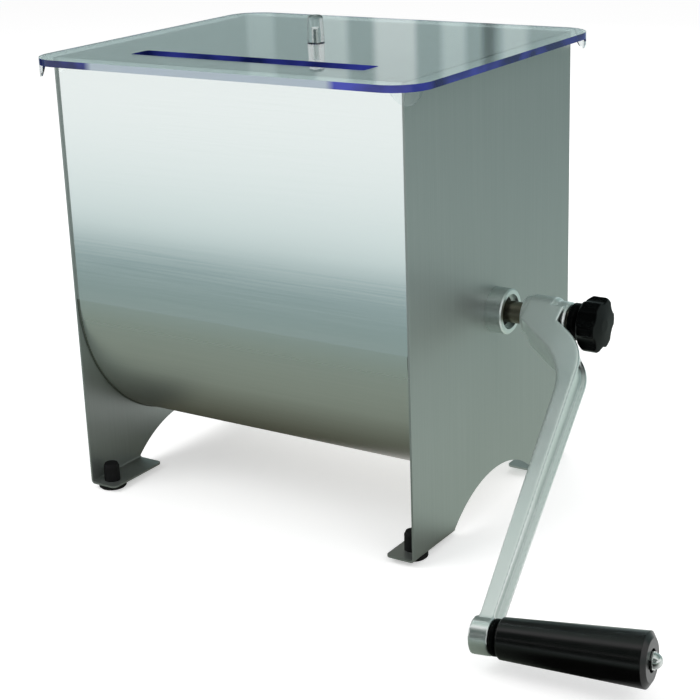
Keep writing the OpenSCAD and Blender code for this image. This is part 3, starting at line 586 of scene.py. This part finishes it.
along = add_node(tree, "Math", place["X"], operation="ABSOLUTE")
mid_edge = add_node(tree, "MapRange", Value=along.outputs[0],
                    From_Min=PALE_END_MM * MM, From_Max=PALE_HALF_MM * MM)
at_front = add_node(tree, "MapRange", Value=place["Y"],
                    From_Min=PALE_FROM_MM * MM, From_Max=PALE_FULL_MM * MM)
pale_share = add_node(tree, "Math", mid_edge.outputs[0], at_front.outputs[0], operation="MULTIPLY")
depth = add_node(tree, "TexNoise", Vector=coordinates["Object"], Scale=1 / (DEPTH_MM * MM), Detail=2.0)
blue = add_node(tree, "ValToRGB", Fac=depth.outputs["Fac"])
for element, position, colour in zip(blue.color_ramp.elements, (0.40, 0.68), ("#16205a", "#3f48b4")):
    element.position = position
    element.color = linear(colour)
edge_tint = add_node(tree, "Mix", data_type="RGBA", Factor=pale_share.outputs[0],
                     A=blue.outputs["Color"], B=linear("#b4c2cc"))
print("the lid's sheet is at", round(mid_lid / MM, 1), "mm, with edges of", len(tree.nodes), "nodes so far")

# %% [markdown]
# ## Clear acrylic
# The sheet is thick enough for a trace of green, and its faces have a light haze from wiping. Light that
# enters an edge rarely comes out again on the far side, so the edges let little through.

# %% Clear acrylic
FACE_HAZE = 0.15
EDGE_BLOCKS = 0.70

body_tint = add_node(tree, "Mix", data_type="RGBA", Factor=in_sheet, A=linear("#f1f5f5"), B=linear("#b9cbca"))
tint = add_node(tree, "Mix", data_type="RGBA", Factor=sawn, A=body_tint.outputs["Result"],
                B=edge_tint.outputs["Result"])
through_faces = add_node(tree, "Math", in_sheet, -FACE_HAZE, 1.0, operation="MULTIPLY_ADD")
through = add_node(tree, "Math", sawn, -EDGE_BLOCKS, through_faces.outputs[0], operation="MULTIPLY_ADD")
acrylic = add_node(tree, "BsdfPrincipled", IOR=PLASTIC_IOR, Roughness=0.03, Base_Color=tint.outputs["Result"],
                   Transmission_Weight=through.outputs[0])
add_node(tree, "OutputMaterial", Surface=acrylic.outputs[0])
print("made", clear_acrylic.name)

# %% [markdown]
# ## Finishes on the CAD pieces
# Each CAD piece keeps its shape and gets the finish that its real counterpart has. The pieces that are
# copied and reshaped below take their finish along.

# %% Finishes on the CAD pieces
FINISHES = {
    trough_steel: ["trough_shell"],
    plate_steel: ["left_end_plate", "right_end_plate",
                  "paddle_blade_1", "paddle_blade_2", "paddle_blade_3", "paddle_blade_4"],
    machined_steel: ["drive_boss", "idle_boss", "grip_spindle", "knob_stud",
                     "paddle_rod_1", "paddle_rod_2", "paddle_rod_3", "paddle_rod_4"],
    oiled_steel: ["paddle_shaft", "crank_washer"],
    zinc_steel: ["grip_washer", "grip_cap_nut", "lid_knob_screw"],
    cast_aluminium: ["crank_arm"],
    gloss_black: ["knob_collar", "star_knob", "grip_neck_ring"],
    satin_black: ["grip_sleeve"],
    white_nylon: ["drive_thrust_washer", "idle_thrust_washer"],
    black_nylon: ["drive_bush", "idle_bush"],
    foot_rubber: ["foot_front_left", "foot_front_right", "foot_rear_left", "foot_rear_right"],
    clear_acrylic: ["lid_panel", "lid_knob"],
}
for material, names in FINISHES.items():
    for name in names:
        frame["nodes"][name].data.materials.clear()
        frame["nodes"][name].data.materials.append(material)
print("finished pieces:", sum(len(names) for names in FINISHES.values()))

# %% [markdown]
# ## Cast crank and moulded knob
# CAD gives the crank and the knob sharp edges, but a casting or a moulding has round ones: metal and
# plastic do not fill a sharp corner of the mould, and sharp corners cut hands. Each piece starts as a copy
# of the CAD solid with its loose triangles merged. A voxel remesh gives it an even skin, and smoothing that
# skin rounds every edge and fills every inner corner with a small fillet, as in the mould. Finer voxels
# round less, and more passes round more.

# %% Cast crank and moulded knob
MERGE_MM = 0.001


def merged_copy(node, name):
    """Copies a CAD piece as a new one, with its loose triangles joined."""
    bpy.ops.object.select_all(action="DESELECT")
    frame["nodes"][node].select_set(True)
    bpy.context.view_layer.objects.active = frame["nodes"][node]
    bpy.ops.object.duplicate()
    piece = bpy.context.object
    piece.name = name
    del piece["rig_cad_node"]  # the mark of a CAD node, which the copy is not
    bpy.ops.object.mode_set(mode="EDIT")
    bpy.ops.mesh.select_all(action="SELECT")
    bpy.ops.mesh.remove_doubles(threshold=MERGE_MM * MM)
    bpy.ops.object.mode_set(mode="OBJECT")
    return piece


def rounded_copy(node, name, body, voxel_mm, passes):
    piece = merged_copy(node, name)
    bpy.ops.object.modifier_add(type="REMESH")
    skin = piece.modifiers[-1]
    skin.mode = "VOXEL"
    skin.voxel_size = voxel_mm * MM
    bpy.ops.object.modifier_apply(modifier=skin.name)
    bpy.ops.object.modifier_add(type="SMOOTH")
    rounding = piece.modifiers[-1]
    rounding.factor = 0.5
    rounding.iterations = passes
    bpy.ops.object.modifier_apply(modifier=rounding.name)
    bpy.ops.object.shade_smooth()
    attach(piece, body)
    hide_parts(node)
    print(name, "has", len(piece.data.polygons), "faces")
    return piece


cast_crank = rounded_copy("crank_arm", "cast_crank", "crank", voxel_mm=0.65, passes=17)
moulded_knob = rounded_copy("star_knob", "moulded_knob", "knob", voxel_mm=0.5, passes=8)

# %% [markdown]
# ## Lid corners
# The real lid's corners are tighter than the CAD lid's. Drawing the points of a round corner in towards the
# place where the two straight edges would meet makes a smaller round that still runs smoothly into both
# edges, and takes the lip below it along. So the copy of the CAD lid has its four corners scaled one by
# one, each about its own sharp corner. The copy brings CAD's normals with it, which no longer fit, so they
# are cleared.

# %% Lid corners
LID_CORNER_MM = 42
TIGHT_CORNER_MM = 27
INSIDE_CORNER_MM = 0.1
SHARP_ANGLE = math.radians(30)


def select_where(piece, test):
    """Opens the piece in edit mode with only those vertices selected whose place passes the test."""
    bpy.ops.object.mode_set(mode="EDIT")
    bpy.ops.mesh.select_mode(type="VERT")
    bpy.ops.mesh.select_all(action="DESELECT")
    bpy.ops.object.mode_set(mode="OBJECT")
    for vertex in piece.data.vertices:
        vertex.select = test(vertex.co)
    bpy.ops.object.mode_set(mode="EDIT")


corner_reach = (LID_CORNER_MM - INSIDE_CORNER_MM) * MM
from_x, from_y = lid_high[0] - corner_reach, lid_high[1] - corner_reach
tighter = TIGHT_CORNER_MM / LID_CORNER_MM

tight_lid = merged_copy("lid_panel", "tight_lid")
for side_x in (-1, 1):
    for side_y in (-1, 1):
        select_where(tight_lid, lambda place: place.x * side_x > from_x and place.y * side_y > from_y)
        bpy.ops.transform.resize(value=(tighter, tighter, 1),
                                 center_override=(side_x * lid_high[0], side_y * lid_high[1], lid_high[2]))
        bpy.ops.object.mode_set(mode="OBJECT")
bpy.ops.mesh.customdata_custom_splitnormals_clear()
bpy.ops.object.shade_smooth_by_angle(angle=SHARP_ANGLE)
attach(tight_lid, "lid")
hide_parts("lid_panel")
print("tight_lid has", len(tight_lid.data.polygons), "faces and is", tight_lid.dimensions.x, "m long")

# %% [markdown]
# ## Weld beads
# The trough's belly is welded to the end plates from outside, and the welder leaves a thin rippled bead
# along the seam. Its dark colour is partly heat tint and partly painted shade of the seam. By hand: a circle
# around the belly loses its upper half, and the arc that is left becomes a curve with a round section. The
# curve's own radius gives the ripples, a little thicker at every drop, before it turns back into a mesh.

# %% Weld beads
BEAD_R_MM = 1.0
BEAD_INSET_MM = 0.3
RIPPLE_MM = 2.4
RIPPLE_RADII = (0.85, 1.0, 1.1, 1.0)
ABOVE_AXIS_MM = 0.01

# The bead's dark colours are partly heat tint and partly painted shade of the seam.
weld_tint_and_shade = turned_steel("weld_heat_tint_and_seam_shade", "#666b65", "#8b908a", rough=0.40)


def weld_bead(name, x):
    bpy.ops.object.select_all(action="DESELECT")
    ripples = round(math.pi * trough_r / (RIPPLE_MM * MM))
    bpy.ops.mesh.primitive_circle_add(vertices=2 * ripples * len(RIPPLE_RADII), radius=trough_r,
                                      location=(x, 0, trough_axis), rotation=(0, math.radians(90), 0))
    bead = bpy.context.object
    bead.name = name
    bpy.ops.object.transform_apply(location=True, rotation=True, scale=True)
    select_where(bead, lambda place: place.z > trough_axis + ABOVE_AXIS_MM * MM)
    bpy.ops.mesh.delete(type="VERT")
    bpy.ops.object.mode_set(mode="OBJECT")
    bpy.ops.object.convert(target="CURVE")
    for spline in bead.data.splines:
        for i, drop in enumerate(spline.points):
            drop.radius = RIPPLE_RADII[i % len(RIPPLE_RADII)]
    bead.data.bevel_depth = BEAD_R_MM * MM
    bead.data.bevel_resolution = 2
    bead.data.use_fill_caps = True
    bpy.ops.object.convert(target="MESH")
    bpy.ops.object.shade_smooth()
    bead.data.materials.append(weld_tint_and_shade)
    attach(bead, "hopper")
    print(name, "has", len(bead.data.polygons), "faces")


weld_bead("left_weld", trough_low[0] + BEAD_INSET_MM * MM)
weld_bead("right_weld", trough_high[0] - BEAD_INSET_MM * MM)

# %% [markdown]
# ## Threaded stud
# The knob's stud shows its thread when the knob is unscrewed. A thread is one small tooth carried round the
# axis while it moves along by one pitch a turn, which is what the Screw modifier does. The tooth starts as
# a strip of a grid that loses one side, so that three points are left, and the middle one is drawn out to
# the crest.

# %% Tooth of the thread
PITCH_MM = 1.0
CREST_MM = 0.55
MID_TOOTH_MM = 0.1

stud_low, stud_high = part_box("knob_stud")
stud_r = (stud_high[2] - stud_low[2]) / 2
shaft_axis = (stud_high[2] + stud_low[2]) / 2
turns = int((stud_high[0] - stud_low[0]) / (PITCH_MM * MM)) - 1

bpy.ops.object.select_all(action="DESELECT")
bpy.ops.mesh.primitive_grid_add(x_subdivisions=2, y_subdivisions=1, size=PITCH_MM * MM, location=(0, 0, 0))
threaded_stud = bpy.context.object
threaded_stud.name = "threaded_stud"
select_where(threaded_stud, lambda place: place.y > 0)
bpy.ops.mesh.delete(type="VERT")
bpy.ops.mesh.select_all(action="SELECT")
bpy.ops.transform.translate(value=(0, PITCH_MM * MM / 2, stud_r - CREST_MM * MM))
bpy.ops.object.mode_set(mode="OBJECT")
select_where(threaded_stud, lambda place: abs(place.x) < MID_TOOTH_MM * MM)
bpy.ops.transform.translate(value=(0, 0, CREST_MM * MM))
bpy.ops.object.mode_set(mode="OBJECT")
print("tooth:", len(threaded_stud.data.vertices), "points, for", turns, "turns")

# %% [markdown]
# The Screw modifier leaves its turns side by side, so their shared edges are merged. The two ends are still
# open, and filling them makes the stud a closed solid before it goes to its place in the shaft.

# %% Threaded stud
STEPS_A_TURN = 24
TURN_MERGE_MM = 0.002

bpy.ops.object.modifier_add(type="SCREW")
thread = threaded_stud.modifiers[-1]
thread.axis = "X"
thread.screw_offset = PITCH_MM * MM
thread.iterations = turns
thread.steps = STEPS_A_TURN
thread.render_steps = STEPS_A_TURN
thread.use_merge_vertices = True
thread.merge_threshold = TURN_MERGE_MM * MM
bpy.ops.object.modifier_apply(modifier=thread.name)
bpy.ops.object.mode_set(mode="EDIT")
bpy.ops.mesh.select_all(action="SELECT")
bpy.ops.mesh.remove_doubles(threshold=TURN_MERGE_MM * MM)
bpy.ops.mesh.select_all(action="DESELECT")
bpy.ops.mesh.select_non_manifold()
bpy.ops.mesh.fill_holes(sides=0)
bpy.ops.mesh.select_all(action="SELECT")
bpy.ops.mesh.normals_make_consistent(inside=False)
bpy.ops.transform.translate(value=(stud_low[0] + PITCH_MM * MM, 0, shaft_axis))
bpy.ops.object.mode_set(mode="OBJECT")
bpy.ops.object.shade_smooth_by_angle(angle=SHARP_ANGLE)
threaded_stud.data.materials.append(zinc_steel)
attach(threaded_stud, "knob")
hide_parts("knob_stud")
print("threaded_stud has", len(threaded_stud.data.polygons), "faces")
